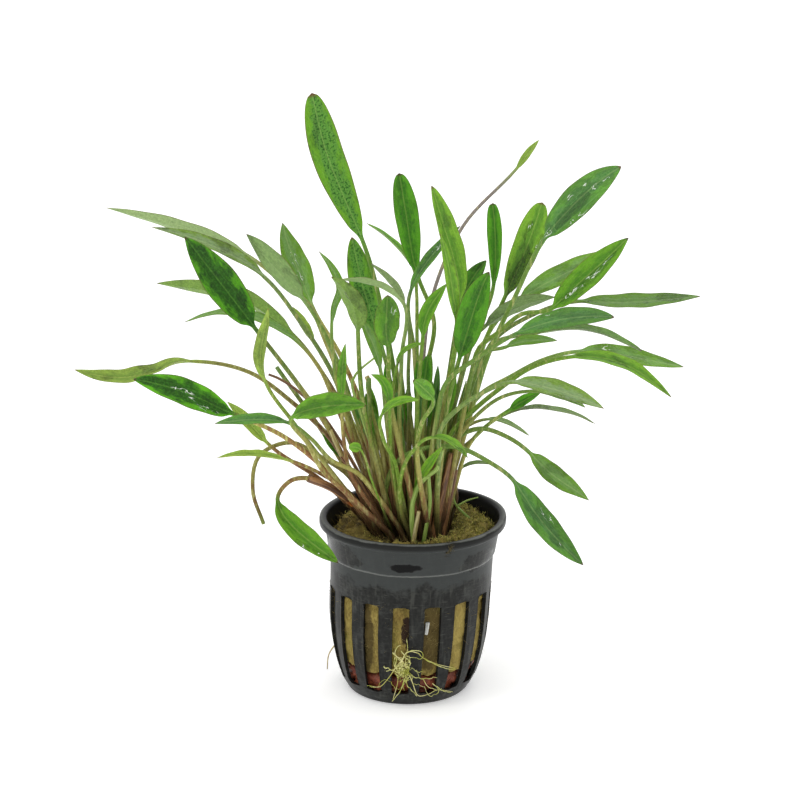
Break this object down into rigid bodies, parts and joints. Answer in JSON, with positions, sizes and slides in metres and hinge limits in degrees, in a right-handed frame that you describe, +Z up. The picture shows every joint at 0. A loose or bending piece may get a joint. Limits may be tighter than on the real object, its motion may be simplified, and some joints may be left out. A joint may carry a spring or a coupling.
{
  "type": "potted cryptocoryne",
  "caption": "Potted aquarium plant: long-stalked, narrow pointed leaves that spread from one crown, rooted in mineral wool in a small slotted net pot.",
  "frame": {"origin": "centre of the pot's underside, on the surface that the pot stands on", "axes": "+Z up; -Y is the front, the side that the picture shows; +X is the picture's right"},
  "size_m": [0.1791, 0.1023, 0.1731],
  "materials": {
    "pot_plastic": "satin black moulded polypropylene, wet in places",
    "rock_wool": "matt ochre mineral wool, fibrous, with moss on its top",
    "baked_clay": "matt red-brown baked clay",
    "crown": "satin green-brown rootstock",
    "root": "pale yellow-green living root, slightly glossy",
    "leaf": "fresh green leaf, satin, wet in places"
  },
  "bodies": {
    "root": {"baked_clay": "baked_clay", "crown": "crown", "front_roots": "root", "leaf_left_01": "leaf", "leaf_left_02": "leaf", "leaf_left_03": "leaf", "leaf_left_04": "leaf", "leaf_left_05": "leaf", "leaf_left_06": "leaf", "leaf_left_07": "leaf", "leaf_left_08": "leaf", "leaf_left_09": "leaf", "leaf_left_10": "leaf", "leaf_left_11": "leaf", "leaf_left_12": "leaf", "leaf_left_13": "leaf", "leaf_left_14": "leaf", "leaf_left_15": "leaf", "leaf_left_16": "leaf", "leaf_left_17": "leaf", "leaf_middle_01": "leaf", "leaf_middle_02": "leaf", "leaf_middle_03": "leaf", "leaf_middle_04": "leaf", "leaf_middle_05": "leaf", "leaf_middle_06": "leaf", "leaf_middle_07": "leaf", "leaf_middle_08": "leaf", "leaf_middle_09": "leaf", "leaf_middle_10": "leaf", "leaf_middle_11": "leaf", "leaf_middle_12": "leaf", "leaf_middle_13": "leaf", "leaf_middle_14": "leaf", "leaf_middle_15": "leaf", "leaf_middle_16": "leaf", "leaf_middle_17": "leaf", "leaf_middle_18": "leaf", "leaf_right_01": "leaf", "leaf_right_02": "leaf", "leaf_right_03": "leaf", "leaf_right_04": "leaf", "leaf_right_05": "leaf", "leaf_right_06": "leaf", "leaf_right_07": "leaf", "leaf_right_08": "leaf", "leaf_right_09": "leaf", "leaf_right_10": "leaf", "leaf_right_11": "leaf", "leaf_right_12": "leaf", "leaf_right_13": "leaf", "leaf_right_14": "leaf", "leaf_right_15": "leaf", "leaf_right_16": "leaf", "leaf_right_17": "leaf", "leaf_right_18": "leaf", "leaf_right_19": "leaf", "left_root": "root", "net_pot": "pot_plastic", "rock_wool": "rock_wool"}
  },
  "joints": []
}
